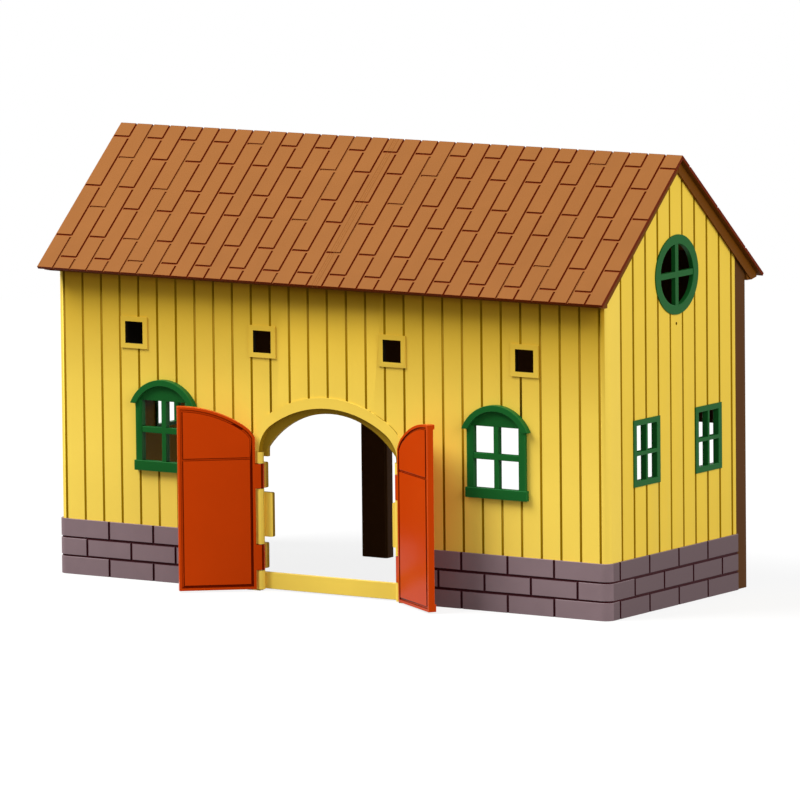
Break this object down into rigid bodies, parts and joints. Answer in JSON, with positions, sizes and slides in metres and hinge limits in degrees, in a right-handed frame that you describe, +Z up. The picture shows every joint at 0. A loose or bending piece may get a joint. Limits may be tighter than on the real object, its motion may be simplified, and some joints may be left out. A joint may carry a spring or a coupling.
{
  "type": "toy barn",
  "caption": "Toy barn with a planked body, a stone look base, a pitched plank roof, green windows and an arched doorway with two hinged doors.",
  "frame": {"origin": "on the ground under the middle of the bounding box, doors open as in the picture", "axes": "+X along the length to the viewer's right when facing the doors, +Y from the doors towards the open back, +Z up"},
  "size_m": [0.4428, 0.2204, 0.2934],
  "materials": {
    "yellow_wall": "moulded ABS, satin",
    "stone_base": "moulded ABS, matt",
    "green_window": "moulded ABS, glossy",
    "orange_door": "moulded ABS, glossy",
    "brown_roof": "moulded polypropylene, satin",
    "dark_frame": "moulded ABS, satin",
    "steel_pin": "drawn wire"
  },
  "bodies": {
    "barn": {"front_wall": "yellow_wall", "left_gable_wall": "yellow_wall", "right_gable_wall": "yellow_wall", "stone_base_left": "stone_base", "stone_base_right": "stone_base", "threshold": "yellow_wall", "left_hinge_pin": "steel_pin", "right_hinge_pin": "steel_pin", "front_window_left": "green_window", "front_window_right": "green_window", "left_gable_window_front": "green_window", "left_gable_window_rear": "green_window", "right_gable_window_front": "green_window", "right_gable_window_rear": "green_window", "left_round_window": "green_window", "right_round_window": "green_window", "roof_front_left": "brown_roof", "roof_front_right": "brown_roof", "roof_rear_left": "brown_roof", "roof_rear_right": "brown_roof", "rear_upper_panel": "dark_frame", "rear_corner_post_left": "dark_frame", "rear_corner_post_right": "dark_frame", "rear_mid_post_left": "dark_frame", "rear_mid_post_right": "dark_frame"},
    "left_leaf": {"left_door": "orange_door"},
    "right_leaf": {"right_door": "orange_door"}
  },
  "joints": [
    {"name": "left_door_hinge", "type": "hinge", "parent": "barn", "child": "left_leaf", "pos_m": [-0.0548, -0.07315, 0.048], "axis": [0, 0, -1], "range_deg": [-140, 15]},
    {"name": "right_door_hinge", "type": "hinge", "parent": "barn", "child": "right_leaf", "pos_m": [0.0548, -0.07315, 0.048], "axis": [0, 0, 1], "range_deg": [-146, 9]}
  ]
}
